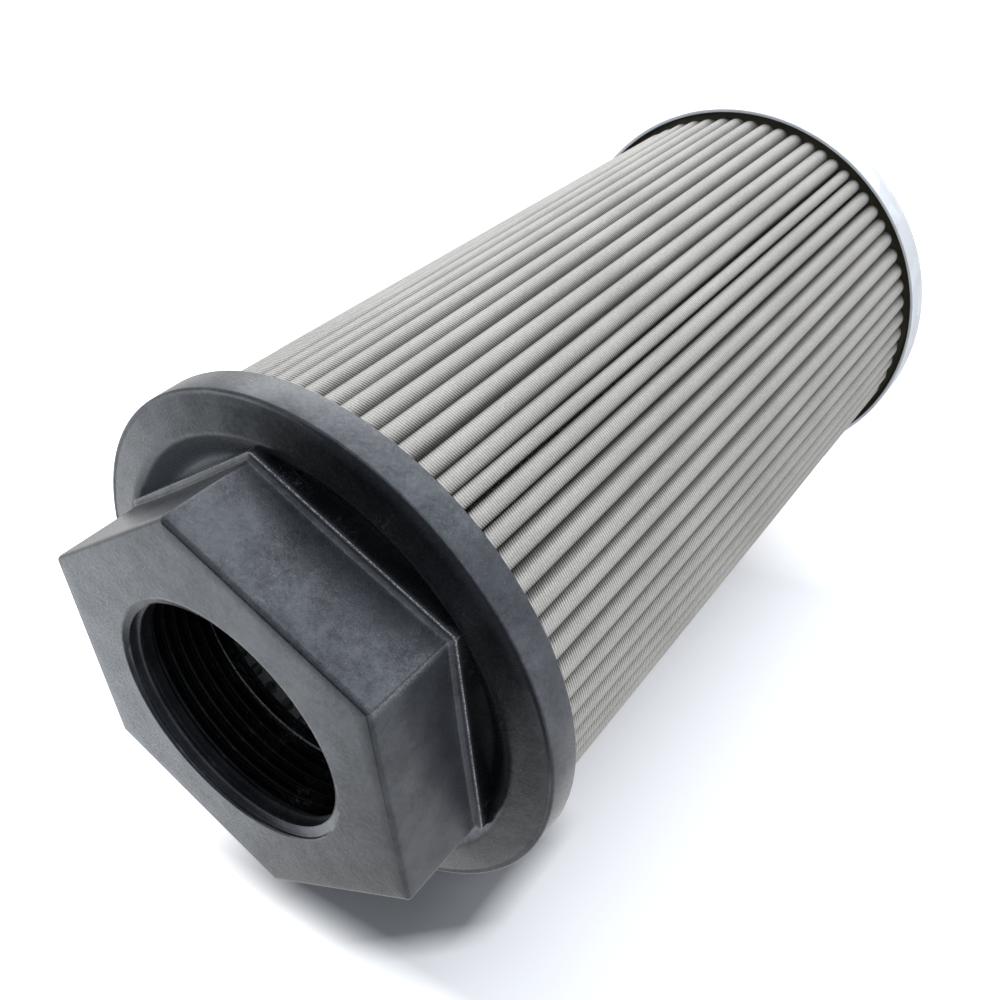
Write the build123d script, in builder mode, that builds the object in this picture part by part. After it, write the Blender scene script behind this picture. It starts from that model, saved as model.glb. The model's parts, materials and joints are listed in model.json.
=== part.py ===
from build123d import *
from math import acos, atan2, cos, degrees, pi, radians, sin, sqrt, tan
import os

# A suction strainer for an oil tank, standing on its end cap with the threaded head on top.
# The frame is in millimetres, +Z runs along the axis towards the head, and the origin is the
# centre of the end cap's outer face. Two sides of the hexagon face -Y and +Y.

overall_length = 192.5

# Head: bore for a parallel pipe thread, and the hexagon round it
thread_minor_diameter = 44.84
mouth_chamfer = 1.58
back_chamfer = 1.5
hex_wall = 11.0
hex_height = 17.3
hex_draft_angle = 0.5
hex_edge_radius = 0.9
ledge_width = 1.05

# Head: dished flange with six pockets, raised lip and rim
pocket_inset = 0.4
pocket_wall_run = 3.2
pocket_floor_thickness = 1.8
web_drop = 0.8
web_fall = 1.8
web_thickness = 3.3
lip_width = 0.9
lip_height = 0.3
lip_radius = 0.4
rim_wall = 1.7
rim_draft = 0.15
trough_depth = 2.8
hub_recess_depth = 3.0
seat_land = 2.4

# Centre tube: the round holes of the real sheet, thinned out to a few rows
tube_wall = 0.8
tube_hole_diameter = 2.8
tube_holes_around = 12
tube_hole_rows = 4
tube_hole_margin = 0.1
first_hole_angle = 0.9

# Pleated mesh: one folded sheet, with its bends measured on the inside of the sheet
pleat_count = 75
pleat_depth = 10.3
mesh_thickness = 0.5
tip_bend_radius = 1.2
root_bend_radius = 0.45
pleat_clearance = 0.2

# End cap and potting adhesive
cap_height = 7.9
cap_sheet = 0.8
cap_corner_radius = 1.2
cap_clearance = 1.3
rim_clearance = 1.6
cap_potting_depth = 4.5
head_potting_depth = 1.8

# Radii, from the bore outwards
bore_radius = thread_minor_diameter / 2
mouth_radius = bore_radius + mouth_chamfer
hex_flats = 2 * (mouth_radius + hex_wall)
hex_foot_flats = hex_flats + 2 * hex_height * tan(radians(hex_draft_angle))
ledge_flats = hex_foot_flats + 2 * ledge_width
tube_outer_radius = ledge_flats / 2
tube_inner_radius = tube_outer_radius - tube_wall
hub_recess_radius = tube_inner_radius - seat_land
root_radius = tube_outer_radius + pleat_clearance
pack_radius = root_radius + pleat_depth
rim_inner_radius = pack_radius + rim_clearance
flange_radius = rim_inner_radius + rim_wall
cap_inner_radius = pack_radius + cap_clearance
cap_radius = cap_inner_radius + cap_sheet
pocket_rim_radius = ledge_flats / sqrt(3) - pocket_inset
pocket_floor_radius = pocket_rim_radius - pocket_wall_run

# Heights, from the head's face downwards and from the cap upwards
ledge_z = overall_length - hex_height
web_top_z = ledge_z - web_drop
web_foot_z = web_top_z - web_fall
lip_z = web_foot_z + lip_height
seat_z = web_foot_z - web_thickness
rim_end_z = seat_z - trough_depth
hub_back_z = seat_z + hub_recess_depth
pocket_floor_z = seat_z + pocket_floor_thickness
cap_potting_z = cap_sheet + cap_potting_depth
head_potting_z = seat_z - head_potting_depth


def ring(outer_radius, inner_radius, bottom_z, top_z):
    # A plain ring about the axis, to be used inside a block
    with Locations((0, 0, bottom_z)):
        Cylinder(outer_radius, top_z - bottom_z, align=(Align.CENTER, Align.CENTER, Align.MIN))
        Cylinder(
            inner_radius,
            top_z - bottom_z,
            align=(Align.CENTER, Align.CENTER, Align.MIN),
            mode=Mode.SUBTRACT,
        )


def around(radius, angle):
    return Vector(radius * cos(angle), radius * sin(angle))


os.makedirs("parts", exist_ok=True)


# Head: the dished flange is turned about the axis, and the hexagon stands on its ledge
with BuildPart() as hex_head:
    with BuildSketch(Plane.XZ):
        with BuildLine():
            pocket_wall_rise = web_top_z - pocket_floor_z
            pocket_radius = (pocket_wall_run**2 + pocket_wall_rise**2) / (2 * pocket_wall_rise)
            Polyline(
                (pocket_floor_radius, pocket_floor_z),
                (0, pocket_floor_z),
                (0, seat_z),
                (rim_inner_radius, seat_z),
                (rim_inner_radius, rim_end_z),
                (flange_radius, rim_end_z),
                (flange_radius - rim_draft, lip_z - lip_radius),
            )
            RadiusArc(
                (flange_radius - rim_draft, lip_z - lip_radius),
                (flange_radius - rim_draft - lip_radius, lip_z),
                -lip_radius,
            )
            Polyline(
                (flange_radius - rim_draft - lip_radius, lip_z),
                (flange_radius - lip_width, lip_z),
                (flange_radius - lip_width, web_foot_z),
                (pocket_rim_radius, web_top_z),
            )
            RadiusArc(
                (pocket_rim_radius, web_top_z),
                (pocket_floor_radius, pocket_floor_z),
                pocket_radius,
            )
        make_face()
    revolve(axis=Axis.Z)
    with BuildSketch(Plane.XY.offset(seat_z)):
        RegularPolygon(ledge_flats / 2, 6, major_radius=False)
        fillet(vertices(), hex_edge_radius)
    extrude(amount=ledge_z - seat_z)
    with BuildSketch(Plane.XY.offset(ledge_z)):
        RegularPolygon(hex_foot_flats / 2, 6, major_radius=False)
    extrude(amount=hex_height, taper=hex_draft_angle)
    side_edges = edges(Select.LAST).filter_by(Axis.Z, tolerance=2)
    face_edges = edges(Select.LAST).group_by(Axis.Z)[-1]
    fillet(side_edges + face_edges, hex_edge_radius)
    # Bore with its two chamfers, and the wider recess behind the thread
    with BuildSketch(Plane.XZ):
        with BuildLine():
            Polyline(
                (0, overall_length + mouth_chamfer),
                (mouth_radius + mouth_chamfer, overall_length + mouth_chamfer),
                (bore_radius, overall_length - mouth_chamfer),
                (bore_radius, hub_back_z + back_chamfer),
                (bore_radius + back_chamfer, hub_back_z),
                (hub_recess_radius, hub_back_z),
                (hub_recess_radius, seat_z),
                (0, seat_z),
                close=True,
            )
        make_face()
    revolve(axis=Axis.Z, mode=Mode.SUBTRACT)

hex_head.part.label = "hex_head"
export_step(hex_head.part, "parts/hex_head.step")


# Centre tube: stands on the cap's floor and carries the head on its upper edge
with BuildPart() as centre_tube:
    ring(tube_outer_radius, tube_inner_radius, cap_sheet, seat_z)
    first_row_z = cap_potting_z + tube_hole_margin + tube_hole_diameter / 2
    last_row_z = head_potting_z - tube_hole_margin - tube_hole_diameter / 2
    row_spacing = (last_row_z - first_row_z) / (tube_hole_rows - 1)
    hole_step = 360 / tube_holes_around
    for row in range(tube_hole_rows):
        row_angle = first_hole_angle + (tube_hole_rows - 1 - row) % 2 * hole_step / 2
        row_plane = Plane.XY.offset(first_row_z + row * row_spacing)
        with Locations(row_plane):
            with PolarLocations(tube_outer_radius - tube_wall / 2, tube_holes_around, row_angle):
                Cylinder(
                    tube_hole_diameter / 2,
                    4 * tube_wall,
                    rotation=(0, 90, 0),
                    mode=Mode.SUBTRACT,
                )

centre_tube.part.label = "centre_tube"
export_step(centre_tube.part, "parts/centre_tube.step")


# Pleats: the sheet runs round each tip, down a straight flank and back round each root. The
# flank is the line that touches the circles of its two bends on opposite sides.
half_pitch = pi / pleat_count
tip_centre = around(pack_radius - mesh_thickness - tip_bend_radius, 0)
root_centre = around(root_radius + mesh_thickness + root_bend_radius, half_pitch)
bend_line = root_centre - tip_centre
bend_sum = tip_bend_radius + root_bend_radius + mesh_thickness
flank_angle = atan2(bend_line.Y, bend_line.X) - acos(bend_sum / bend_line.length)
flank_normal = around(1, flank_angle)


def mirrored(point):
    return Vector(point.X, -point.Y)


def turned(point, pleat):
    return point.rotate(Axis.Z, degrees(2 * half_pitch * pleat))


def outside_of_sheet():
    # Round tips, and roots that come to a point as the bend there is tight
    tip_radius = tip_bend_radius + mesh_thickness
    flank_top = tip_centre + flank_normal * tip_radius
    flank_foot = root_centre - flank_normal * root_bend_radius
    tip_point = around(pack_radius, 0)
    root_point = around(root_centre.length - root_bend_radius, half_pitch)
    for pleat in range(pleat_count):
        ThreePointArc(
            turned(mirrored(flank_top), pleat),
            turned(tip_point, pleat),
            turned(flank_top, pleat),
        )
        Polyline(
            turned(flank_top, pleat),
            turned(flank_foot, pleat),
            turned(root_point, pleat),
            turned(mirrored(flank_foot), pleat + 1),
            turned(mirrored(flank_top), pleat + 1),
        )


def inside_of_sheet():
    flank_top = tip_centre + flank_normal * tip_bend_radius
    flank_foot = root_centre - flank_normal * (root_bend_radius + mesh_thickness)
    tip_point = around(tip_centre.length + tip_bend_radius, 0)
    root_point = around(root_radius, half_pitch)
    points = []
    for pleat in range(pleat_count):
        points.append(turned(tip_point, pleat))
        points.append(turned(flank_top, pleat))
        points.append(turned(flank_foot, pleat))
        points.append(turned(root_point, pleat))
        points.append(turned(mirrored(flank_foot), pleat + 1))
        points.append(turned(mirrored(flank_top), pleat + 1))
    Polyline(*points, close=True)


with BuildPart() as pleat_pack:
    with BuildSketch(Plane.XY.offset(cap_potting_z)):
        with BuildLine():
            outside_of_sheet()
        make_face()
        with BuildLine():
            inside_of_sheet()
        make_face(mode=Mode.SUBTRACT)
    extrude(amount=head_potting_z - cap_potting_z)

pleat_pack.part.label = "pleat_pack"
export_step(pleat_pack.part, "parts/pleat_pack.step")


# Potting adhesive: two rings round the tube, which the pleats end on
with BuildPart() as head_potting:
    ring(rim_inner_radius, tube_outer_radius, head_potting_z, seat_z)

head_potting.part.label = "head_potting"
export_step(head_potting.part, "parts/head_potting.step")

with BuildPart() as cap_potting:
    ring(cap_inner_radius, tube_outer_radius, cap_sheet, cap_potting_z)
    rim_of_floor = cap_potting.edges().filter_by(GeomType.CIRCLE).filter_by(
        lambda edge: edge.radius > tube_outer_radius + cap_clearance and edge.center().Z < cap_potting_z
    )
    fillet(rim_of_floor, cap_corner_radius - cap_sheet)

cap_potting.part.label = "cap_potting"
export_step(cap_potting.part, "parts/cap_potting.step")


# End cap: a shallow cup pressed from sheet
with BuildPart() as end_cap:
    Cylinder(cap_radius, cap_height, align=(Align.CENTER, Align.CENTER, Align.MIN))
    fillet(end_cap.edges().sort_by(Axis.Z)[0], cap_corner_radius)
    with BuildSketch(Plane.XY.offset(cap_sheet)):
        Circle(cap_inner_radius)
    extrude(amount=cap_height, mode=Mode.SUBTRACT)

end_cap.part.label = "end_cap"
export_step(end_cap.part, "parts/end_cap.step")
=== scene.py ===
# %% [markdown]
# This filter hangs on a pump's suction pipe inside an oil tank. A moulded head with a hexagon and
# a pipe thread carries a pack of pleated wire mesh, which a perforated tube holds up from inside
# and a pressed steel cap closes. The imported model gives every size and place, so it comes first.

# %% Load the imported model
import json
import math
import random

import bmesh
import bpy
import numpy as np
from mathutils import Matrix, Vector


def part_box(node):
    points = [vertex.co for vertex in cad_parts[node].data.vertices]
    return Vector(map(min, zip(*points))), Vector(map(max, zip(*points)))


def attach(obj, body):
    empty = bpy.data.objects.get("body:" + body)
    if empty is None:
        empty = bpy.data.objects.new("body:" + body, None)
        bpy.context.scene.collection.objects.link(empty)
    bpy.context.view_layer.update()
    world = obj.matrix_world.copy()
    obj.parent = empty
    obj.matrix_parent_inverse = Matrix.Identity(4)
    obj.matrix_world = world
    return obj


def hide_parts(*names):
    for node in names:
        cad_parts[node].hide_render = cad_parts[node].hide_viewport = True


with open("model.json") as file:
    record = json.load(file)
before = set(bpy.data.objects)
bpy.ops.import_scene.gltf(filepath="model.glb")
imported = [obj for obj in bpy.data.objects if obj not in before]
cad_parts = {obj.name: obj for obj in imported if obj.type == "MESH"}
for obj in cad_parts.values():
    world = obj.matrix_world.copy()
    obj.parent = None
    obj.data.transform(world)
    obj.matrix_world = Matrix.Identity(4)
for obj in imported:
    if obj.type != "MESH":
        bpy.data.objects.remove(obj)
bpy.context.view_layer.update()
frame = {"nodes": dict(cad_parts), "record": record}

MM = 0.001

# %% [markdown]
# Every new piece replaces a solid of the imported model, so its main radii and heights are read
# from that solid's box, in millimetres. Small sizes that a box can't tell are named values, taken
# from the same drawing as the solids.

# %% Read the main sizes from the solids


def box_mm(node):
    low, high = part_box(node)
    return [value / MM for value in low], [value / MM for value in high]


head_low, head_high = box_mm("hex_head")
pack_low, pack_high = box_mm("pleat_pack")
tube_low, tube_high = box_mm("centre_tube")
cap_low, cap_high = box_mm("end_cap")
cap_potting_low, cap_potting_high = box_mm("cap_potting")
head_potting_low = box_mm("head_potting")[0]

top_z = head_high[2]
rim_end_z = head_low[2]
seat_z = tube_high[2]
flange_radius = head_high[0]
pack_radius = (pack_high[1] - pack_low[1]) / 2
tube_outer_radius = tube_high[0]
cap_radius = cap_high[0]
port = [m for m in frame["record"]["mounts"] if m["name"] == "port_thread"][0]
bore_radius = port["dims"]["r_mm"]
print("the head runs from", round(rim_end_z, 2), "to", round(top_z, 2), "mm")
print("radii: flange", round(flange_radius, 2), "pack", round(pack_radius, 2), "bore", bore_radius)

# %% [markdown]
# Most pieces here are swept forms: a row of points that is repeated round the axis or along it.
# Such a form is a grid, so one helper turns rows of points into a mesh. The rows can close on
# themselves, points that fall on each other are welded, and the normals are made to face outwards.
# Two more put an object into the scene, and hang a piece on the root body and hide the solid that
# it stands for.

# %% Helpers that make a piece from a grid of points


def grid_faces(rows, columns, close_rows, close_columns, offset=0):
    faces = []
    for i in range(rows if close_rows else rows - 1):
        for j in range(columns if close_columns else columns - 1):
            below = (i + 1) % rows
            beside = (j + 1) % columns
            faces.append((
                offset + i * columns + j,
                offset + i * columns + beside,
                offset + below * columns + beside,
                offset + below * columns + j,
            ))
    return faces


def new_object(name, data):
    thing = bpy.data.objects.new(name, data)
    bpy.context.scene.collection.objects.link(thing)
    return thing


def make_piece(name, points, faces, smooth_angle=35, weld=0.0008):
    mesh = bpy.data.meshes.new(name)
    mesh.from_pydata((np.asarray(points) * MM).tolist(), [], faces)
    work = bmesh.new()
    work.from_mesh(mesh)
    bmesh.ops.remove_doubles(work, verts=work.verts, dist=weld * MM)
    bmesh.ops.recalc_face_normals(work, faces=work.faces)
    work.to_mesh(mesh)
    work.free()
    mesh.shade_smooth()
    mesh.set_sharp_from_angle(angle=math.radians(smooth_angle))
    triangles = sum(len(polygon.vertices) - 2 for polygon in mesh.polygons)
    print(name, "has", triangles, "triangles")
    return new_object(name, mesh)


def stands_for(piece, node):
    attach(piece, "root")
    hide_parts(node)


# %% [markdown]
# The head is one moulding: a turned dish with a hexagon on it. Its outside is a stack of closed
# rings that all have the same number of points, so a ring can be a circle, a hexagon with rounded
# corners, or a blend of both. The points crowd together at the hexagon's corners, where the small
# radius needs them.

# %% Rings of the head
hex_flats = 70.0
hex_height = 17.3
hex_draft = 0.15
edge_radius = 0.9
corner_radius = 1.0
flat_sink = 0.35
ledge_width = 1.05
ledge_sweep = 0.85
corner_points = 7
flat_points = 30


def hexagon_ring(flats, radius, z, sink=0.0):
    radius = max(radius, 0.0)
    centre_distance = (flats / 2 - radius) / math.cos(math.radians(30))
    ring = []
    for corner in range(6):
        turn = math.radians(60 * corner)
        centre = np.array([math.cos(turn), math.sin(turn)]) * centre_distance
        for angle in np.linspace(turn - math.pi / 6, turn + math.pi / 6, corner_points):
            ring.append(centre + radius * np.array([math.cos(angle), math.sin(angle)]))
        outward = np.array([math.cos(turn + math.pi / 6), math.sin(turn + math.pi / 6)])
        along = np.array([-outward[1], outward[0]])
        half_length = centre_distance / 2
        for share in np.linspace(-1, 1, flat_points + 2)[1:-1]:
            depth = flats / 2 - sink * (1 - share**2)
            ring.append(outward * depth + along * share * half_length)
    ring = np.array(ring)
    return np.column_stack([ring, np.full(len(ring), z)])


def ring_angles(ring):
    return np.unwrap(np.arctan2(ring[:, 1], ring[:, 0]))


column_angle = ring_angles(hexagon_ring(hex_flats, corner_radius, 0))


def circle_ring(radius, z, angle=column_angle):
    radius = np.broadcast_to(radius, angle.shape)
    z = np.broadcast_to(z, angle.shape)
    return np.column_stack([radius * np.cos(angle), radius * np.sin(angle), z])


print("the head's rings have", len(column_angle), "points")

# %% [markdown]
# Outside the hexagon's foot lies a dish. Its floor, its soft outer wall and the web that gently
# falls to the lip are one turned outline, so a function gives the height at any radius. The wall is
# an S-curve, because a mould for glass filled nylon has no sharp steps.

# %% Outline of the dish
web_drop = 0.8
web_fall = 1.8
pocket_floor_thickness = 1.8
lip_width = 0.9
lip_rise = 0.14
pocket_inset = 0.4
pocket_wall_run = 4.2
pocket_wall_run_out = 2.0

ledge_z = top_z - hex_height
web_top_z = ledge_z - web_drop
web_foot_z = web_top_z - web_fall
pocket_floor_z = seat_z + pocket_floor_thickness
lip_inner_radius = flange_radius - lip_width
lip_top_z = web_foot_z + lip_rise
ledge_flats = hex_flats + 2 * hex_draft + 2 * ledge_width
pocket_rim_radius = ledge_flats / math.sqrt(3) - pocket_inset
pocket_floor_radius = pocket_rim_radius - pocket_wall_run
wall_end_radius = pocket_rim_radius + pocket_wall_run_out


def dish_height(radius):
    slope = (web_top_z - web_foot_z) / (lip_inner_radius - pocket_rim_radius)
    web = web_top_z - slope * (radius - pocket_rim_radius)
    share = np.clip((radius - pocket_floor_radius) / (wall_end_radius - pocket_floor_radius), 0, 1)
    return pocket_floor_z + (web - pocket_floor_z) * share**2 * (3 - 2 * share)


# %% [markdown]
# The rings run from the mouth of the bore over the face, down the hexagon, through the dish, over
# the lip, round the rim and back along the underside to the rear end of the bore.

# %% Outside of the head
mouth_chamfer = 1.58
back_chamfer = 1.5
hub_recess_depth = 3.0
ledge_edge_radius = 0.2
lip_radius = 0.4
rim_draft = 0.15
rim_edge_radius = 0.3
rim_wall = 1.7
back_edge_chamfer = 0.2
tube_sheet = 0.8
seat_land = 2.4

mouth_radius = bore_radius + mouth_chamfer
back_mouth_radius = bore_radius + back_chamfer
hub_back_z = seat_z + hub_recess_depth
rim_inner_radius = flange_radius - rim_wall
recess_radius = tube_outer_radius - tube_sheet - seat_land


def arc_steps(count):
    return [math.radians(90) * step / count for step in range(count + 1)]


face_edge = hexagon_ring(hex_flats - 2 * edge_radius, corner_radius - edge_radius, top_z)
outside = [circle_ring(mouth_radius, top_z)]
for share in (0.03, 0.2, 0.4, 0.6, 0.8):
    outside.append(circle_ring(mouth_radius, top_z) * (1 - share) + face_edge * share)
for angle in arc_steps(5):
    inset = edge_radius * (1 - math.sin(angle))
    outside.append(hexagon_ring(
        hex_flats - 2 * inset,
        corner_radius - inset,
        top_z - edge_radius * (1 - math.cos(angle)),
    ))
for share in (0.1, 0.25, 0.4, 0.55, 0.7, 0.85, 0.96):
    depth = edge_radius + (hex_height - edge_radius - ledge_sweep) * share
    outside.append(hexagon_ring(
        hex_flats + 2 * hex_draft * share, corner_radius, top_z - depth, flat_sink * share**1.5
    ))
for angle in arc_steps(5):
    share = 1 - math.cos(angle)
    outside.append(hexagon_ring(
        hex_flats + 2 * hex_draft + 2 * ledge_sweep * share,
        corner_radius,
        ledge_z + ledge_sweep * (1 - math.sin(angle)),
        flat_sink * (1 - share),
    ))
for angle in arc_steps(3)[1:]:
    inset = ledge_edge_radius * (1 - math.sin(angle))
    outside.append(hexagon_ring(
        ledge_flats - 2 * inset,
        corner_radius - inset,
        ledge_z - ledge_edge_radius * (1 - math.cos(angle)),
    ))
ledge_edge = hexagon_ring(ledge_flats, corner_radius, 0)
ledge_radius = np.hypot(ledge_edge[:, 0], ledge_edge[:, 1])
ledge_angle = ring_angles(ledge_edge)
dish_radii = list(np.linspace(ledge_flats / 2, wall_end_radius, 20))
dish_radii += list(np.linspace(wall_end_radius, lip_inner_radius - 0.5, 7)[1:])
for radius in dish_radii:
    outside_ledge = np.maximum(ledge_radius, radius)
    outside.append(circle_ring(outside_ledge, dish_height(outside_ledge), ledge_angle))
for radius, z in (
    (lip_inner_radius - 0.3, web_foot_z + 0.06),
    (lip_inner_radius - 0.1, web_foot_z + 0.07),
    (lip_inner_radius + 0.1, web_foot_z + 0.1),
    (lip_inner_radius + 0.25, lip_top_z - 0.01),
    (lip_inner_radius + 0.35, lip_top_z),
):
    outside.append(circle_ring(radius, z, ledge_angle))
for angle in arc_steps(4):
    outside.append(circle_ring(
        flange_radius - rim_draft - lip_radius * (1 - math.sin(angle)),
        lip_top_z - lip_radius * (1 - math.cos(angle)),
        ledge_angle,
    ))
for angle in arc_steps(3):
    outside.append(circle_ring(
        flange_radius - rim_edge_radius * (1 - math.cos(angle)),
        rim_end_z + rim_edge_radius * (1 - math.sin(angle)),
        ledge_angle,
    ))
for radius, z in (
    (rim_inner_radius + back_edge_chamfer, rim_end_z),
    (rim_inner_radius, rim_end_z + back_edge_chamfer),
    (rim_inner_radius, seat_z),
    (recess_radius + back_edge_chamfer, seat_z),
    (recess_radius, seat_z + back_edge_chamfer),
    (recess_radius, hub_back_z - back_edge_chamfer),
    (recess_radius - back_edge_chamfer, hub_back_z),
    (back_mouth_radius, hub_back_z),
):
    outside.append(circle_ring(radius, z))
print("the outside of the head has", len(outside), "rings")

# %% [markdown]
# The thread is a real groove that winds up the bore. Its grid leans with the helix: each step round
# the axis lifts the row by that share of the pitch, so the crests stay crisp. A full turn lifts it
# by exactly one pitch, where it meets its own first column and is welded. The cone of the mouth and
# the chamfer at the back simply cut the groove away where they are wider.

# %% Thread in the bore
thread_pitch = 2.309
thread_depth = 1.479
thread_start = 0.35
crest_share = 0.05
flank_share = 0.4
mouth_slope = 2.0
rows_per_turn = 14


def thread_surface():
    turn_share = np.append(column_angle - column_angle[0], 2 * math.pi) / (2 * math.pi)
    angle = np.append(column_angle, column_angle[0] + 2 * math.pi)
    turns = (top_z - hub_back_z) / thread_pitch
    rows = []
    for row in range(-rows_per_turn, int(turns + 1) * rows_per_turn + 1):
        step = row / rows_per_turn
        z = hub_back_z + thread_pitch * (step + turn_share)
        phase = (step + thread_start) % 1.0
        down_the_flank = (min(phase, 1 - phase) - crest_share) / flank_share
        groove = 0.5 - 0.5 * math.cos(math.pi * min(max(down_the_flank, 0), 1))
        z = np.clip(z, hub_back_z, top_z)
        mouth_cone = mouth_radius - mouth_slope * (top_z - z)
        back_cone = back_mouth_radius - (z - hub_back_z)
        radius = np.maximum(bore_radius + thread_depth * groove, np.maximum(mouth_cone, back_cone))
        rows.append(np.column_stack([radius * np.cos(angle), radius * np.sin(angle), z]))
    return rows


thread = thread_surface()
head_points = np.concatenate(outside + thread)
ring_points = len(column_angle)
head_faces = grid_faces(len(outside), ring_points, False, True)
head_faces += grid_faces(len(thread), ring_points + 1, False, False, len(outside) * ring_points)
head = make_piece("moulded_head", head_points, head_faces, smooth_angle=40)
stands_for(head, "hex_head")

# %% [markdown]
# The centre tube is rolled from sheet with round holes in close staggered rows. Each hole sits in
# its own rectangle of sheet, and a row is a band of such rectangles. The band's edges carry a
# point at every half step, so the next row can be shifted by half a rectangle and still fit. Each
# of a rectangle's six points is joined to one of the twelve points of the hole's rim.

# %% Perforated centre tube
hole_radius = 1.4
holes_around = 47
hole_row_step = 4.16
first_hole_drop = 1.5
first_hole_turn = 62.3
hole_points = 12
rim_points_at_edge = (1, 3, 4, 7, 9, 10)


def perforated_sheet():
    inner_radius = tube_outer_radius - tube_sheet
    first_row_z = head_potting_low[2] - first_hole_drop
    row_count = int((first_row_z - cap_potting_high[2]) / hole_row_step) + 1
    step = 2 * math.pi / holes_around
    points = []
    faces = []

    def add(angle, z):
        for radius in (tube_outer_radius, inner_radius):
            points.append((radius * math.cos(angle), radius * math.sin(angle), z))
        return len(points) - 2

    def add_faces(loop):
        faces.append(tuple(loop))
        faces.append(tuple(index + 1 for index in reversed(loop)))

    hole_angles = [2 * math.pi * (k + 0.5) / hole_points for k in range(hole_points)]
    for row in range(row_count):
        z = first_row_z - row * hole_row_step
        for hole in range(holes_around):
            angle = math.radians(first_hole_turn) + step * (hole + 0.5 * (row % 2))
            edge = [
                add(angle + beside * step / 2, z + above * hole_row_step / 2)
                for beside, above in ((1, 1), (0, 1), (-1, 1), (-1, -1), (0, -1), (1, -1))
            ]
            rim = [
                add(
                    angle + hole_radius * math.cos(turn) / tube_outer_radius,
                    z + hole_radius * math.sin(turn),
                )
                for turn in hole_angles
            ]
            for side in range(6):
                start = rim_points_at_edge[side]
                end = rim_points_at_edge[(side + 1) % 6]
                span = (end - start) % hole_points
                arc = [rim[(start + k) % hole_points] for k in range(span, -1, -1)]
                add_faces([edge[side], edge[(side + 1) % 6]] + arc)
            for k in range(hole_points):
                here = rim[k]
                there = rim[(k + 1) % hole_points]
                faces.append((here, there, there + 1, here + 1))
    top_edge = first_row_z + hole_row_step / 2
    bottom_edge = first_row_z - (row_count - 0.5) * hole_row_step
    for low, high, shift in (
        (top_edge, tube_high[2], 0.0),
        (tube_low[2], bottom_edge, 0.5 * ((row_count - 1) % 2)),
    ):
        for half in range(2 * holes_around):
            angle = math.radians(first_hole_turn) + step * (half / 2 + shift)
            a = add(angle, low)
            b = add(angle + step / 2, low)
            c = add(angle + step / 2, high)
            d = add(angle, high)
            add_faces([a, b, c, d])
            outer_edge = (c, d) if high == tube_high[2] else (a, b)
            faces.append((outer_edge[0], outer_edge[1], outer_edge[1] + 1, outer_edge[0] + 1))
    print("the tube has", row_count, "rows of", holes_around, "holes")
    return points, faces


tube_points, tube_faces = perforated_sheet()
tube = make_piece("perforated_tube", tube_points, tube_faces)
stands_for(tube, "centre_tube")

# %% [markdown]
# The mesh is one long sheet, folded to and fro seventy five times and closed to a ring. Each fold
# is an arc about its own centre, and each flank is the line that touches the two arcs next to it.
# The folding was done by a machine but rolled up by hand, so the pleats differ a little in width,
# height and lean, and those at the side seam are narrower. Turns and leans are in degrees.

# %% Places of the folds
pleat_count = 75
sheet = 0.5
tip_bend = 1.12
seam_tip_bend = 0.9
root_bend = 0.45
root_clearance = 0.2
seam_turn = 259.7
seam_half_width = 10.0
seam_squeeze = 0.14
seam_tip_height = -0.1
loose_side_turn = 215.0
loose_side_gain = 0.06
width_scatter = 0.015
highest_tip = 0.08
lowest_tip = -0.12
lean_scatter = 0.2
bend_scatter = 0.06
wave_size = 0.12
waves_up_the_pack = 3.2
pack_twist = math.radians(2.4)
bottom_sunk = 2.0
top_sunk = 1.0
dip_start = 4.2
dip_end = -0.8
dip_depth = 2.6
chance = random.Random(7)

root_radius = tube_outer_radius + root_clearance
sheet_bottom_z = cap_potting_high[2] - bottom_sunk
sheet_top_z = head_potting_low[2] + top_sunk
dip_start_z = cap_potting_high[2] + dip_start
dip_end_z = cap_potting_high[2] + dip_end


def seam_closeness(turn):
    distance = abs((turn - seam_turn + 180) % 360 - 180)
    return math.exp(-((distance / seam_half_width) ** 2))


pleat_widths = []
for pleat in range(pleat_count):
    turn = seam_turn + 360 * (pleat + 0.5) / pleat_count
    looseness = loose_side_gain * math.cos(math.radians(turn - loose_side_turn))
    squeeze = seam_squeeze * seam_closeness(turn + 1)
    pleat_widths.append(1 + looseness - squeeze + width_scatter * chance.uniform(-1, 1))
pleat_widths = np.array(pleat_widths) * 360 / sum(pleat_widths)
tip_turns = np.radians(seam_turn + np.cumsum(pleat_widths) - pleat_widths)


def drawn(low, high):
    return np.array([chance.uniform(low, high) for _ in range(pleat_count)])


tip_heights = drawn(lowest_tip, highest_tip)
tip_leans = np.radians(drawn(-lean_scatter, lean_scatter))
tip_waves = drawn(0, 2 * math.pi)
tip_bends = tip_bend + drawn(-bend_scatter, bend_scatter)
tip_bends[0] = seam_tip_bend
tip_heights[0] = seam_tip_height
print("pleat pitch", round(pleat_widths.min(), 2), "to", round(pleat_widths.max(), 2), "degrees")

# %% [markdown]
# The outside and the inside of the sheet share their fold centres and differ only in the radii of
# the bends, so one function walks along either of them.

# %% Section of the folded sheet


def rotated(vectors, angles):
    cosine = np.cos(angles)
    sine = np.sin(angles)
    return np.column_stack([
        vectors[:, 0] * cosine - vectors[:, 1] * sine,
        vectors[:, 0] * sine + vectors[:, 1] * cosine,
    ])


def polar(radius, angle):
    return np.column_stack([radius * np.cos(angle), radius * np.sin(angle)])


tip_steps = 9
flank_steps = 3
root_steps = 5


def dip(z):
    share = min(max((dip_start_z - z) / (dip_start_z - dip_end_z), 0), 1)
    return dip_depth * (1 - math.sqrt(1 - share**2))


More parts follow.
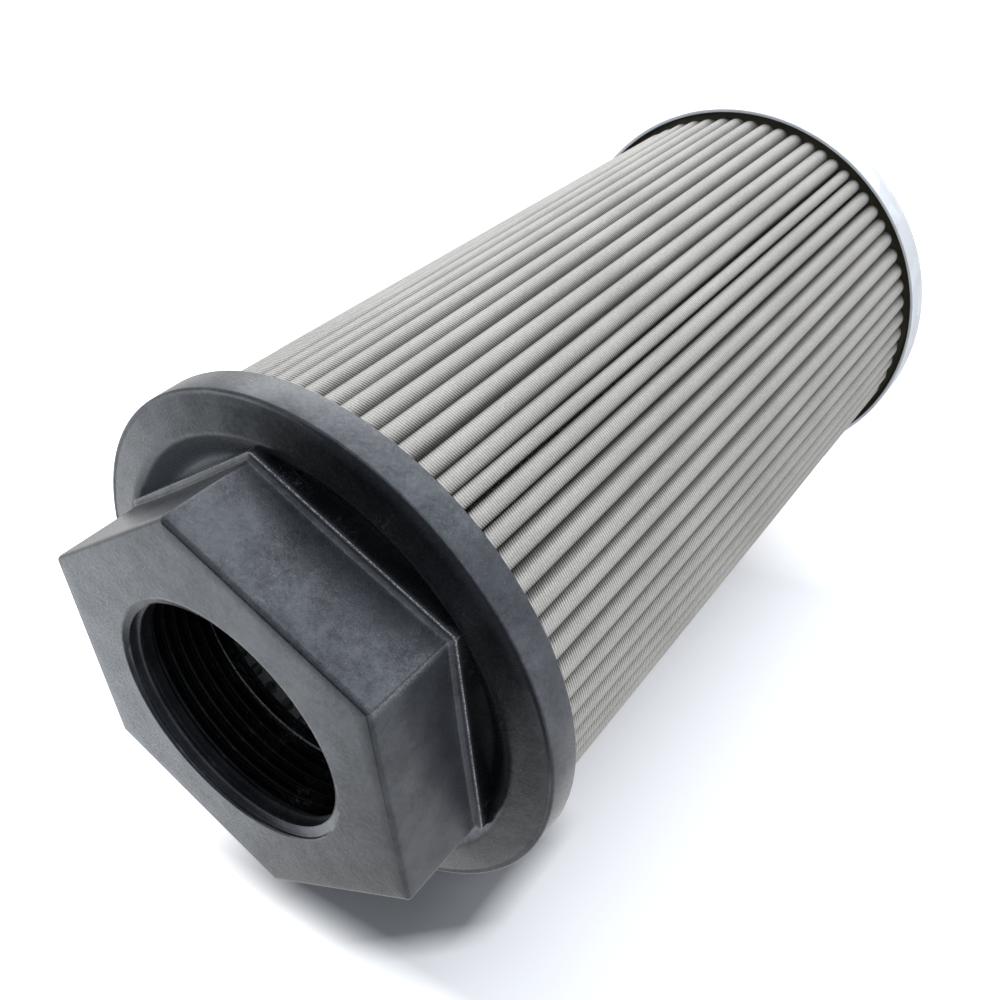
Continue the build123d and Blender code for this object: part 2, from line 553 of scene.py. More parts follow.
def folded_section(z, outside_face):
    height_share = (z - sheet_bottom_z) / (sheet_top_z - sheet_bottom_z)
    lean = tip_leans * (height_share - 0.5) * 2
    wave = np.radians(wave_size) * np.sin(waves_up_the_pack * height_share + tip_waves)
    tip_turn = tip_turns + lean + wave + pack_twist * (1 - height_share)
    next_turn = np.append(tip_turn[1:], tip_turn[0] + 2 * math.pi)
    root_turn = (tip_turn + next_turn) / 2
    tip_centre = polar(pack_radius + tip_heights - dip(z) - sheet - tip_bends, tip_turn)
    root_centre = polar(np.full(pleat_count, root_radius + sheet + root_bend), root_turn)
    next_centre = np.roll(tip_centre, -1, axis=0)
    down = root_centre - tip_centre
    up = root_centre - next_centre
    down_length = np.hypot(*down.T)
    up_length = np.hypot(*up.T)
    down_bends = tip_bends + root_bend + sheet
    up_bends = np.roll(down_bends, -1)
    down_normal = rotated(down / down_length[:, None], -np.arccos(down_bends / down_length))
    up_normal = rotated(up / up_length[:, None], np.arccos(up_bends / up_length))
    tip_size = tip_bends + (sheet if outside_face else 0)
    next_size = np.roll(tip_size, -1)
    root_size = root_bend + (0 if outside_face else sheet)
    before = np.roll(up_normal, 1, axis=0)
    columns = []

    def add_bend(centre, size, from_normal, to_normal, steps, back):
        start = np.arctan2(from_normal[:, 1], from_normal[:, 0])
        sweep = (np.arctan2(to_normal[:, 1], to_normal[:, 0]) - start) % (2 * math.pi) - back
        for step in range(steps):
            columns.append(centre + polar(size, start + sweep * step / (steps - 1)))

    def add_flank(top, foot, steps):
        for step in steps:
            share = step / (flank_steps + 1)
            columns.append(top * (1 - share) + foot * share)

    add_bend(tip_centre, tip_size, before, down_normal, tip_steps, 0)
    top = tip_centre + down_normal * tip_size[:, None]
    add_flank(top, root_centre - down_normal * root_size, range(1, flank_steps + 1))
    add_bend(root_centre, root_size, -down_normal, -up_normal, root_steps, 2 * math.pi)
    top = next_centre + up_normal * next_size[:, None]
    add_flank(top, root_centre - up_normal * root_size, range(flank_steps, 0, -1))
    return np.stack(columns, axis=1).reshape(-1, 2)


# %% [markdown]
# The rows of the grid are sections at rising heights on the outside, then the same heights in
# falling order on the inside. The last row meets the first, so the sheet is a closed body with two
# cut ends, which are sunk in the adhesive. Near the cap the folds were crimped before they were
# dipped, so their tips end like rounded fingers, and the rows lie closer there. The map that the
# weave follows counts millimetres along the sheet and up the pack.

# %% Pleated mesh
dip_rows = 8
straight_rows = 14
flank_length = pack_radius - root_radius - 2 * sheet - tip_bend - root_bend
flank_lengths = [flank_length / (flank_steps + 1)] * (flank_steps + 1)
column_lengths = (
    [math.pi * (tip_bend + sheet / 2) / (tip_steps - 1)] * (tip_steps - 1)
    + flank_lengths
    + [math.pi * (root_bend + sheet / 2) / (root_steps - 1)] * (root_steps - 1)
    + flank_lengths
)
along_sheet = np.concatenate([[0], np.cumsum(column_lengths * pleat_count)])


def pleated_mesh():
    stations = [sheet_bottom_z] + list(np.linspace(dip_end_z, dip_start_z, dip_rows))
    stations += list(np.linspace(dip_start_z, sheet_top_z, straight_rows)[1:])
    rows = []
    heights = []
    for outside_face, order in ((True, stations), (False, stations[::-1])):
        for z in order:
            section = folded_section(z, outside_face)
            rows.append(np.column_stack([section, np.full(len(section), z)]))
            heights.append(z)
    return rows, heights


pack_rows, pack_heights = pleated_mesh()
column_total = len(pack_rows[0])
pack_points = np.concatenate(pack_rows)
pack_faces = grid_faces(len(pack_rows), column_total, True, True)
pack = make_piece("pleated_mesh", pack_points, pack_faces, smooth_angle=60, weld=0.0)
sheet_map = pack.data.uv_layers.new(name="sheet_mm")
for polygon in pack.data.polygons:
    corners = [(loop, pack.data.loops[loop].vertex_index) for loop in polygon.loop_indices]
    columns = [vertex % column_total for _, vertex in corners]
    wraps = max(columns) - min(columns) > 1
    for loop, vertex in corners:
        column = vertex % column_total
        if wraps and column == 0:
            column = column_total
        row = vertex // column_total
        sheet_map.data[loop].uv = (along_sheet[column], pack_heights[row])
stands_for(pack, "pleat_pack")
print("the flat sheet is", round(along_sheet[-1]), "mm long")

# %% [markdown]
# The adhesive was poured as a liquid, so its surface is level but for a soft ripple, and it climbs
# a little where it wets the wall of the cap. A ring of fine rows gives it that meniscus, which
# thins out to a film on the wall. The one in the head is hidden, so its solid stays and only gets
# the same finish.

# %% Adhesive in the cap
round_points = 240
round_angle = np.linspace(0, 2 * math.pi, round_points, endpoint=False)
surface_drop = 0.15
surface_ripple = 0.05
meniscus_height = 0.9
meniscus_reach = 0.4
film = 0.2
film_drop = 0.25
bottom_edge = 0.4


def turned_rows(outline, ripple=0.0):
    rows = []
    for radius, z in outline:
        waves = np.sin(7 * round_angle + radius) + 0.6 * np.sin(19 * round_angle - 2 * radius)
        rows.append(circle_ring(radius, z + ripple * waves, round_angle))
    return rows


def turned_piece(name, rows, close_rows):
    faces = grid_faces(len(rows), round_points, close_rows, True)
    return make_piece(name, np.concatenate(rows), faces)


def adhesive_rows():
    inner = tube_outer_radius
    outer = cap_potting_high[0]
    level = cap_potting_high[2] - surface_drop
    film_top_z = cap_high[2] - film_drop
    bottom = cap_potting_low[2]
    surface = [(radius, level) for radius in np.linspace(inner, outer - 1.5, 8)]
    for radius in np.linspace(outer - 1.2, outer - film, 7):
        climb = meniscus_height * math.exp(-(outer - film - radius) / meniscus_reach)
        surface.append((radius, level + climb))
    surface += [
        (outer - film * 0.8, film_top_z - 0.5),
        (outer - film * 0.4, film_top_z - 0.1),
        (outer, film_top_z),
    ]
    underside = [(outer, bottom + bottom_edge), (outer - bottom_edge, bottom), (inner, bottom)]
    return turned_rows(surface, surface_ripple) + turned_rows(underside)


adhesive = turned_piece("cap_adhesive", adhesive_rows(), True)
stands_for(adhesive, "cap_potting")

# %% [markdown]
# The end cap is pressed from one disc of galvanised sheet. Turning its outline gives the soft outer
# corner of the press tool, and the trimmed edge keeps a tiny burr radius that catches the light.

# %% Pressed end cap
cap_sheet = 0.8
cap_corner = 1.2
inner_corner = 0.4
burr_radius = 0.2
burr_chamfer = 0.1


def cap_outline():
    inner = cap_radius - cap_sheet
    height = cap_high[2]
    outline = [(0.0, 0.0), (20.0, 0.0), (40.0, 0.0)]
    for angle in arc_steps(5):
        inset = cap_corner * (1 - math.sin(angle))
        outline.append((cap_radius - inset, cap_corner * (1 - math.cos(angle))))
    for angle in arc_steps(3):
        inset = burr_radius * (1 - math.cos(angle))
        outline.append((cap_radius - inset, height - burr_radius * (1 - math.sin(angle))))
    outline += [(inner + burr_chamfer, height), (inner, height - burr_chamfer)]
    for angle in arc_steps(3):
        inset = inner_corner * (1 - math.cos(angle))
        outline.append((inner - inset, cap_sheet + inner_corner * (1 - math.sin(angle))))
    return outline + [(20.0, cap_sheet), (0.0, cap_sheet)]


cap = turned_piece("pressed_cap", turned_rows(cap_outline()), False)
stands_for(cap, "end_cap")

# %% [markdown]
# Materials are node graphs, and a few short helpers keep the wiring readable. Each of them places
# a node, takes sockets or plain numbers, and gives back the socket with its result. Sums, products
# and the largest of several values are chains of the same maths node.

# %% Helpers for sums and colours


def connect(tree, source, target):
    tree.links.new(source, target)


def put(tree, value, socket):
    if isinstance(value, bpy.types.NodeSocket):
        connect(tree, value, socket)
    else:
        socket.default_value = value


def calculate(tree, operation, *values):
    node = tree.nodes.new("ShaderNodeMath")
    node.operation = operation
    for index, value in enumerate(values):
        put(tree, value, node.inputs[index])
    return node.outputs[0]


def chained(tree, operation, values):
    result = values[0]
    for value in values[1:]:
        result = calculate(tree, operation, result, value)
    return result


def total(tree, *values):
    return chained(tree, "ADD", values)


def product(tree, *values):
    return chained(tree, "MULTIPLY", values)


def largest(tree, *values):
    return chained(tree, "MAXIMUM", values)


def apart(tree, value, other):
    return calculate(tree, "ABSOLUTE", calculate(tree, "SUBTRACT", value, other))


def remap(tree, value, low, high, to_low=0.0, to_high=1.0):
    node = tree.nodes.new("ShaderNodeMapRange")
    put(tree, value, node.inputs["Value"])
    put(tree, low, node.inputs["From Min"])
    put(tree, high, node.inputs["From Max"])
    put(tree, to_low, node.inputs["To Min"])
    put(tree, to_high, node.inputs["To Max"])
    return node.outputs["Result"]


def blend_colours(tree, share, first, second):
    node = tree.nodes.new("ShaderNodeMix")
    node.data_type = "RGBA"
    put(tree, share, node.inputs["Factor"])
    put(tree, first, node.inputs[6])
    put(tree, second, node.inputs[7])
    return node.outputs[2]


def darkened(colour, share):
    return tuple(channel * share for channel in colour[:3]) + (1,)


# %% [markdown]
# Most effects here depend on the place on the piece: how far it is from the axis, how high up, or
# whether it faces outwards. The place is counted in millimetres from the middle of the cap's foot,
# so the sizes in the materials are the sizes on the object.

# %% Helpers for places


def vector_maths(tree, operation, *values):
    node = tree.nodes.new("ShaderNodeVectorMath")
    node.operation = operation
    for index, value in enumerate(values):
        put(tree, value, node.inputs[index])
    return node.outputs["Value" if operation in ("LENGTH", "DOT_PRODUCT") else "Vector"]


def stretched(tree, vector, factors):
    return vector_maths(tree, "MULTIPLY", vector, factors)


def split(tree, vector):
    node = tree.nodes.new("ShaderNodeSeparateXYZ")
    connect(tree, vector, node.inputs[0])
    return tuple(node.outputs)


def position_mm(tree):
    place = tree.nodes.new("ShaderNodeTexCoord").outputs["Object"]
    return stretched(tree, place, (1 / MM, 1 / MM, 1 / MM))


def distance_from_axis(tree, place):
    return vector_maths(tree, "LENGTH", stretched(tree, place, (1, 1, 0)))


def facing_outwards(tree, place):
    outwards = vector_maths(tree, "NORMALIZE", stretched(tree, place, (1, 1, 0)))
    normal = tree.nodes.new("ShaderNodeTexCoord").outputs["Normal"]
    return vector_maths(tree, "DOT_PRODUCT", outwards, normal)


def noise(tree, place, scale, detail, roughness=0.5):
    node = tree.nodes.new("ShaderNodeTexNoise")
    connect(tree, place, node.inputs["Vector"])
    put(tree, scale, node.inputs["Scale"])
    node.inputs["Detail"].default_value = detail
    node.inputs["Roughness"].default_value = roughness
    return node.outputs["Fac"]


# %% [markdown]
# The last helpers start a material, give it bump, let a share of the light rays through, and give
# it to a piece. One more tells whether a ray comes from the eye, straight or by way of a mirror.

# %% Helpers for materials


def new_material(name):
    material = bpy.data.materials.new(name)
    material.use_nodes = True
    tree = material.node_tree
    shader = [node for node in tree.nodes if node.type == "BSDF_PRINCIPLED"][0]
    return material, tree, shader


def bumped(tree, height, strength, distance):
    node = tree.nodes.new("ShaderNodeBump")
    node.inputs["Strength"].default_value = strength
    node.inputs["Distance"].default_value = distance
    connect(tree, height, node.inputs["Height"])
    return node.outputs["Normal"]


def let_through(tree, shader, share):
    clear = tree.nodes.new("ShaderNodeBsdfTransparent")
    either = tree.nodes.new("ShaderNodeMixShader")
    connect(tree, share, either.inputs[0])
    connect(tree, shader.outputs[0], either.inputs[1])
    connect(tree, clear.outputs[0], either.inputs[2])
    end = [node for node in tree.nodes if node.type == "OUTPUT_MATERIAL"][0]
    connect(tree, either.outputs[0], end.inputs["Surface"])


def seen_or_mirrored(tree):
    path = tree.nodes.new("ShaderNodeLightPath").outputs
    rays = ("Is Camera Ray", "Is Glossy Ray", "Is Transmission Ray")
    return largest(tree, *[path[ray] for ray in rays])


def paint(piece, material):
    piece.data.materials.clear()
    piece.data.materials.append(material)
    print(piece.name, "is finished in", material.name)


# %% [markdown]
# Every surface here has a grain: the moulding has the texture of its mould, the sheet metal has a
# cloudy zinc skin and the adhesive has dust in it. An effect like this, which several materials
# share, is a node group with named sockets. It gives broad clouds and a fine grain, each at its own
# size. A second group gives the fine scratches that handling leaves in patches.

# %% Clouds, grain and scratches


def new_group(name, numbers, results):
    group = bpy.data.node_groups.new(name, "ShaderNodeTree")
    sockets = group.interface
    sockets.new_socket(name="Place", in_out="INPUT", socket_type="NodeSocketVector")
    for label, value in numbers.items():
        socket = sockets.new_socket(name=label, in_out="INPUT", socket_type="NodeSocketFloat")
        socket.default_value = value
    for label in results:
        sockets.new_socket(name=label, in_out="OUTPUT", socket_type="NodeSocketFloat")
    inputs = group.nodes.new("NodeGroupInput").outputs
    outputs = group.nodes.new("NodeGroupOutput").inputs
    return group, inputs, outputs


def use_group(tree, group, place, **numbers):
    node = tree.nodes.new("ShaderNodeGroup")
    node.node_tree = group
    connect(tree, place, node.inputs["Place"])
    for label, value in numbers.items():
        put(tree, value, node.inputs[label.replace("_", " ").title()])
    return node.outputs


def make_grain_group():
    group, inputs, outputs = new_group(
        "clouds_and_grain",
        {"Cloud Scale": 0.12, "Grain Scale": 3.0},
        ["Clouds", "Grain", "Specks"],
    )
    clouds = noise(group, inputs["Place"], inputs["Cloud Scale"], detail=5, roughness=0.6)
    grain = noise(group, inputs["Place"], inputs["Grain Scale"], detail=2, roughness=0.6)
    connect(group, remap(group, clouds, 0.3, 0.7), outputs["Clouds"])
    connect(group, grain, outputs["Grain"])
    connect(group, remap(group, grain, 0.68, 0.76), outputs["Specks"])
    return group


def make_scratch_group():
    group, inputs, outputs = new_group("fine_scratches", {"Amount": 0.5}, ["Scratches"])
    lines = []
    for factors in ((0.9, 0.08, 0.3), (0.07, 1.0, 0.25), (0.5, 0.5, 0.06)):
        streaks = noise(group, stretched(group, inputs["Place"], factors), 1.6, detail=2)
        lines.append(remap(group, apart(group, streaks, 0.5), 0.006, 0.0))
    patches = remap(group, noise(group, inputs["Place"], 0.09, detail=3), 0.52, 0.66)
    scratches = product(group, largest(group, *lines), patches, inputs["Amount"])
    connect(group, scratches, outputs["Scratches"])
    return group


grain_group = make_grain_group()
scratch_group = make_scratch_group()
print("node groups", grain_group.name, "and", scratch_group.name)

# %% [markdown]
# The head is nylon filled with glass fibre, moulded in charcoal. Fibres near the skin leave it
# mottled with fine pale specks and patches of sheen. The bore is dull, and the bore and the dish
# are painted near black, which is painted shade; deep in the bore the sheen is cut too. The pocket
# on one side is painted lighter, which is painted light. Handling has rubbed the edges lighter,
# which the pointiness of the mesh tells. The edge of the ledge is painted pale in broken flecks,
# partly as flaking and partly as a painted highlight. The export can't follow a sheen that changes
# over the surface, so the shader's own sheen is set to its average first.

# %% Charcoal moulding
dark_nylon = (0.007, 0.0085, 0.012, 1)
pale_nylon = (0.056, 0.061, 0.073, 1)
rubbed_nylon = (0.2, 0.21, 0.23, 1)
rim_nylon = (0.05, 0.056, 0.07, 1)
flaked_and_highlight_nylon = (0.42, 0.43, 0.45, 1)
painted_shade_black = (0.001, 0.001, 0.0012, 1)
painted_light_nylon = (0.115, 0.125, 0.14, 1)
painted_light_starts_radius = 43.0
painted_light_full_radius = 40.5
painted_light_starts_x = 18.0
painted_light_full_x = 30.0


def charcoal_moulding():
    material, tree, shader = new_material("charcoal_moulding")
    place = position_mm(tree)
    x, _, z = split(tree, place)
    reach = distance_from_axis(tree, place)
    grain = use_group(tree, grain_group, place, cloud_scale=0.16, grain_scale=4.2)
    patches = use_group(tree, grain_group, place, cloud_scale=1.1, grain_scale=1.6)
    scratches = use_group(tree, scratch_group, place, amount=0.5)

    fine = remap(tree, grain["Grain"], 0.38, 0.66, 0.0, 0.7)
    mottle = total(tree, product(tree, grain["Clouds"], 0.35), fine)
    colour = blend_colours(tree, mottle, dark_nylon, pale_nylon)
    on_rim = remap(tree, reach, flange_radius - 0.9, flange_radius - 0.3, 0.0, 0.2)
    colour = blend_colours(tree, on_rim, colour, rim_nylon)

    # Deep in the bore and in the dish below the ledge the colour is painted near black: painted
    # shade.
    in_bore = remap(tree, reach, mouth_radius + 0.1, mouth_radius - 0.3)
    deep = product(tree, in_bore, remap(tree, z, top_z - 1.2, top_z - 5.0))
    below_ledge = remap(tree, z, ledge_z - 0.3, ledge_z - 0.8)
    in_dish = remap(tree, reach, lip_inner_radius, lip_inner_radius - 2.0, 0.0, 0.9)
    painted_shade = largest(tree, deep, product(tree, in_dish, below_ledge))
    colour = blend_colours(tree, painted_shade, colour, painted_shade_black)
    # The pocket on the side towards +x is painted lighter: painted light, not a colour of its own.
    in_pocket = remap(tree, reach, painted_light_starts_radius, painted_light_full_radius)
    on_one_side = remap(tree, x, painted_light_starts_x, painted_light_full_x)
    painted_light = product(tree, in_pocket, below_ledge, on_one_side)
    colour = blend_colours(tree, painted_light, colour, painted_light_nylon)

    colour = blend_colours(tree, product(tree, grain["Specks"], 0.5), colour, rubbed_nylon)
    colour = blend_colours(tree, scratches["Scratches"], colour, rubbed_nylon)
    pointiness = tree.nodes.new("ShaderNodeNewGeometry").outputs["Pointiness"]
    broken = remap(tree, grain["Grain"], 0.4, 0.65, 0.1, 0.6)
    rubbed = product(tree, remap(tree, pointiness, 0.53, 0.62), broken)
    colour = blend_colours(tree, rubbed, colour, rubbed_nylon)
    # Pale flecks along the ledge's edge: partly flaking and partly a painted highlight.
    on_ledge_edge = remap(tree, apart(tree, z, ledge_z - 0.1), 0.13, 0.07)
    flakes_and_highlight = product(tree, on_ledge_edge, remap(tree, grain["Grain"], 0.42, 0.58, 0.1, 1.0))
    colour = blend_colours(tree, flakes_and_highlight, colour, flaked_and_highlight_nylon)
    connect(tree, colour, shader.inputs["Base Color"])

    roughness = remap(tree, grain["Grain"], 0.35, 0.65, 0.33, 0.24)
    connect(tree, largest(tree, roughness, deep), shader.inputs["Roughness"])
    shader.inputs["Specular IOR Level"].default_value = 0.44
    sheen = total(
        tree,
        remap(tree, grain["Clouds"], 0.25, 0.75, 0.36, 0.52),
        remap(tree, patches["Clouds"], 0.3, 0.7, -0.06, 0.06),
        remap(tree, patches["Grain"], 0.35, 0.65, -0.05, 0.05),
    )
    # Deep in the bore the sheen is cut as well, which goes with the painted shade there.
    sheen = product(tree, sheen, remap(tree, deep, 0, 1, 1.0, 0.05))
    connect(tree, sheen, shader.inputs["Specular IOR Level"])
    shader.inputs["Specular Tint"].default_value = (0.82, 0.9, 1.0, 1)
    connect(tree, bumped(tree, grain["Grain"], 0.35, 0.00004), shader.inputs["Normal"])
    return material


paint(head, charcoal_moulding())

# %% [markdown]
# The filter mesh is woven from fine wire. The stout wires run slanting across the folds and the
# thin ones along them, so a flank shows close lines from root to tip. The dark gaps between the
# wires are the weave's own, but they are painted stronger on the flanks than on the tips, which is
# painted shade, so the lines fade on the tips. The sheet's own map carries the weave, so it follows
# every fold at the same pitch.

# %% Weave
stout_wire_pitch = 0.52
thin_wire_pitch = 0.56
wire_slant = 0.9
thin_wire_height = 0.35


def make_weave_group():
    group, inputs, outputs = new_group(
        "woven_wire", {"Depth": 0.0, "Contrast": 1.0}, ["Height", "Gaps"]
    )
    run, rise, _ = split(group, inputs["Place"])
    slanted = calculate(group, "MULTIPLY_ADD", inputs["Depth"], wire_slant, rise)
    stout = calculate(group, "COSINE", product(group, slanted, 2 * math.pi / stout_wire_pitch))
    thin = calculate(group, "COSINE", product(group, run, 2 * math.pi / thin_wire_pitch))
    crossing = product(group, thin, stout)
    wires = calculate(group, "MULTIPLY_ADD", crossing, thin_wire_height, stout)
    height = remap(group, wires, -1.2, 1.2)
    connect(group, height, outputs["Height"])
    gaps = product(group, remap(group, height, 0.75, 0.2), inputs["Contrast"])
    connect(group, gaps, outputs["Gaps"])
    return group


weave_group = make_weave_group()
print("stout wires every", stout_wire_pitch, "mm, thin ones every", thin_wire_pitch, "mm")

# %% [markdown]
# The two ends of the sheet are joined at the side seam, where dark adhesive has run into the
# valleys. The wire lets part of the light through, so a share of the lamps' rays and of the light
# that bounces about passes it, while the eye and the mirrors see it whole.

# %% Woven steel
dull_wire = (0.33, 0.326, 0.316, 1)
bright_wire = (0.56, 0.554, 0.537, 1)
gap_shade = (0.1, 0.098, 0.093, 1)
seam_adhesive = (0.012, 0.012, 0.011, 1)
seam_reach = 18.5
open_share = 0.6


def woven_steel():
    material, tree, shader = new_material("woven_steel_wire")
    sheet_place = tree.nodes.new("ShaderNodeUVMap")
    sheet_place.uv_map = "sheet_mm"
    on_sheet = sheet_place.outputs["UV"]
    place = position_mm(tree)
    # The gaps are painted darker where the sheet faces sideways, on the flanks: painted shade.
    contrast = remap(tree, facing_outwards(tree, place), 0.6, 0.97, 1.0, 0.5)
    depth = calculate(tree, "SUBTRACT", pack_radius, distance_from_axis(tree, place))
    weave = use_group(tree, weave_group, on_sheet, depth=depth, contrast=contrast)
    grain = use_group(tree, grain_group, place, cloud_scale=0.05, grain_scale=3.4)

    fine = remap(tree, grain["Grain"], 0.35, 0.65, 0.0, 0.6)
    tone = total(tree, product(tree, grain["Clouds"], 0.4), fine)
    colour = blend_colours(tree, tone, dull_wire, bright_wire)
    colour = blend_colours(tree, weave["Gaps"], colour, gap_shade)
    run = split(tree, on_sheet)[0]
    last_reach = along_sheet[-1] - seam_reach
    near_seam = largest(
        tree,
        remap(tree, run, seam_reach, seam_reach - 1),
        remap(tree, run, last_reach, last_reach + 1),
    )
    in_valley = remap(tree, depth, 0.7, 1.2)
    streaky = remap(tree, grain["Grain"], 0.46, 0.6, 1.0, 0.35)
    glued = product(tree, near_seam, in_valley, streaky)
    colour = blend_colours(tree, glued, colour, seam_adhesive)
    connect(tree, colour, shader.inputs["Base Color"])

    shader.inputs["Metallic"].default_value = 0.1
    shader.inputs["Specular IOR Level"].default_value = 0.35
    shader.inputs["Roughness"].default_value = 0.5
    connect(tree, bumped(tree, weave["Height"], 0.4, 0.0001), shader.inputs["Normal"])
    path = tree.nodes.new("ShaderNodeLightPath").outputs
    light_ray = largest(tree, path["Is Shadow Ray"], path["Is Diffuse Ray"])
    let_through(tree, shader, product(tree, light_ray, open_share))
    return material


paint(pack, woven_steel())

# %% [markdown]
# Cap and tube are galvanised sheet: bright zinc with faint crystals and soft clouds. The cap keeps
# its shop finish. The tube inside the oil is duller, but the cut edges of its holes are painted
# near white, partly as bare metal and partly as a painted glint. They are found by their normals,
# which don't point away from the axis.

# %% Galvanised sheet
bright_zinc = (0.66, 0.7, 0.755, 1)
dull_zinc = (0.5, 0.53, 0.58, 1)
bare_and_glinting_metal = (0.93, 0.94, 0.96, 1)
crystal_scale = 0.25
cloud_roughness = 0.06


def galvanised(name, colour, roughness, bright_cut_edges=False):
    material, tree, shader = new_material(name)
    place = position_mm(tree)
    grain = use_group(tree, grain_group, place, cloud_scale=0.2, grain_scale=1.2)
    crystals = tree.nodes.new("ShaderNodeTexVoronoi")
    crystals.inputs["Scale"].default_value = crystal_scale
    connect(tree, place, crystals.inputs["Vector"])
    tone = tree.nodes.new("ShaderNodeSeparateColor")
    connect(tree, crystals.outputs["Color"], tone.inputs[0])
    skin = blend_colours(tree, tone.outputs[0], darkened(colour, 0.86), colour)
    # Cut edges painted near white: partly bare metal, partly a painted glint.
    if bright_cut_edges:
        in_or_out = calculate(tree, "ABSOLUTE", facing_outwards(tree, place))
        skin = blend_colours(tree, remap(tree, in_or_out, 0.8, 0.4), skin, bare_and_glinting_metal)
    connect(tree, skin, shader.inputs["Base Color"])
    shader.inputs["Metallic"].default_value = 0.55
    smooth = roughness - cloud_roughness
    rough = roughness + cloud_roughness
    cloudy = remap(tree, grain["Clouds"], 0, 1, smooth, rough)
    connect(tree, cloudy, shader.inputs["Roughness"])
    connect(tree, bumped(tree, grain["Grain"], 0.1, 0.00005), shader.inputs["Normal"])
    return material


paint(cap, galvanised("galvanised_cap", bright_zinc, 0.5))
paint(tube, galvanised("galvanised_tube", dull_zinc, 0.42, bright_cut_edges=True))

# %% [markdown]
# The adhesive is an olive brown epoxy with a dull gloss. It is slightly cloudy where filler has
# settled.

# %% Epoxy adhesive
dark_olive = (0.07, 0.066, 0.042, 1)
pale_olive = (0.115, 0.109, 0.074, 1)


def epoxy():
    material, tree, shader = new_material("olive_epoxy")
    grain = use_group(tree, grain_group, position_mm(tree), cloud_scale=0.15, grain_scale=1.8)
    colour = blend_colours(tree, grain["Clouds"], dark_olive, pale_olive)
    connect(tree, colour, shader.inputs["Base Color"])
    shader.inputs["Roughness"].default_value = 0.4
    connect(tree, bumped(tree, grain["Grain"], 0.25, 0.0001), shader.inputs["Normal"])
    return material


olive_epoxy = epoxy()
paint(adhesive, olive_epoxy)
paint(frame["nodes"]["head_potting"], olive_epoxy)

# %% [markdown]
# In the photograph the filter lies on its side and the camera looks down over the head. Here it
# stands on its cap, so the camera is turned with it: its place and its axes are given in the
# standing frame.

# %% Camera
camera_place = Vector((-38.09, -162.56, 259.68)) * MM
camera_right = Vector((-0.74412, -0.33523, -0.57782)).normalized()
camera_up = Vector((0.64683, -0.57767, -0.49787)).normalized()
camera_back = camera_right.cross(camera_up).normalized()

camera_data = bpy.data.cameras.new("camera")
camera_data.sensor_width = 36
camera_data.lens = 38.37
camera_data.clip_start = 0.01
camera = new_object("camera", camera_data)
turn = Matrix((camera_right, camera_up, camera_back)).transposed().to_4x4()
camera.matrix_world = Matrix.Translation(camera_place) @ turn
bpy.context.scene.camera = camera
print("the camera is", round(camera_place.length / MM), "mm from the cap")

# %% [markdown]
# Soft, even light: large lamps for form and a pale world for fill. The lamps are placed as seen by
# the photographer, so many millimetres to the right, upwards and towards the camera from the middle
# of the pack. The world is white to the eye and in mirrors, and much weaker as a light.

# %% Lamps and world
middle = Vector((0, 0, (top_z + cap_low[2]) / 2)) * MM
world_light = 0.3


def soft_lamp(name, right, up, back, size, watts, colour=(1, 1, 1)):
    data = bpy.data.lights.new(name, "AREA")
    data.shape = "DISK"
    data.size = size * MM
    data.energy = watts
    data.color = colour
    place = middle + (camera_right * right + camera_up * up + camera_back * back) * MM
    lamp = new_object(name, data)
    lamp.location = place
    lamp.rotation_euler = (middle - place).to_track_quat("-Z", "Y").to_euler()
    lamp.visible_camera = False
    print(name, "is", round((middle - place).length / MM), "mm away with", watts, "W")


soft_lamp("overhead_softbox", 230, 558, 182, 840, 4.0)
soft_lamp("back_softbox", -84, 542, -176, 480, 1.45)
soft_lamp("front_bounce", -558, -279, -175, 500, 0.65, (0.84, 0.92, 1.0))
soft_lamp("side_bounce", 570, -287, 287, 800, 2.0)
soft_lamp("camera_fill", 100, 100, 680, 500, 1.1, (0.86, 0.93, 1.0))

world = bpy.data.worlds.new("studio")
bpy.context.scene.world = world
world.use_nodes = True
tree = world.node_tree
background = [node for node in tree.nodes if node.type == "BACKGROUND"][0]
strength = remap(tree, seen_or_mirrored(tree), 0, 1, world_light, 1.0)
connect(tree, strength, background.inputs["Strength"])
background.inputs["Color"].default_value = (1, 1, 1, 1)

# %% [markdown]
# The filter stands on a pale floor. In the photograph it lies on its side, so the ground seen there
# is a second pale plane, the table, which stands upright behind the filter and touches the flange.
# Only the camera sees it, and only from the front, so it neither lights nor hides the filter in
# other views. The black card and both of these are stage, not part of the object.

# %% Planes of the stage
floor_drop = 0.2
table_gap = 0.3
table_turn = math.radians(-56)
table_normal = Vector((math.cos(table_turn), math.sin(table_turn), 0))
table_sideways = Vector((0, 0, 1)).cross(table_normal)


def stage_plane(name, centre, normal, size):
    half = size * MM / 2
    corners = [(-half, -half, 0), (half, -half, 0), (half, half, 0), (-half, half, 0)]
    mesh = bpy.data.meshes.new(name)
    mesh.from_pydata(corners, [], [(0, 1, 2, 3)])
    plane = new_object(name, mesh)
    plane.location = centre
    plane.rotation_euler = normal.to_track_quat("Z", "Y").to_euler()
    return plane


def hide_from(plane, *rays):
    for ray in rays:
        setattr(plane, "visible_" + ray, False)


def matt_material(name, colour):
    material, tree, shader = new_material(name)
    shader.inputs["Base Color"].default_value = colour
    shader.inputs["Roughness"].default_value = 1.0
    shader.inputs["Specular IOR Level"].default_value = 0.0
    return material, tree, shader


def glowing(tree, shader, strength):
    shader.inputs["Emission Color"].default_value = (1, 1, 1, 1)
    strength = product(tree, seen_or_mirrored(tree), strength)
    connect(tree, strength, shader.inputs["Emission Strength"])


def ramp(tree, length, ends, low=0.0, high=1.0):
    return remap(tree, length, ends[0] * MM, ends[1] * MM, low, high)


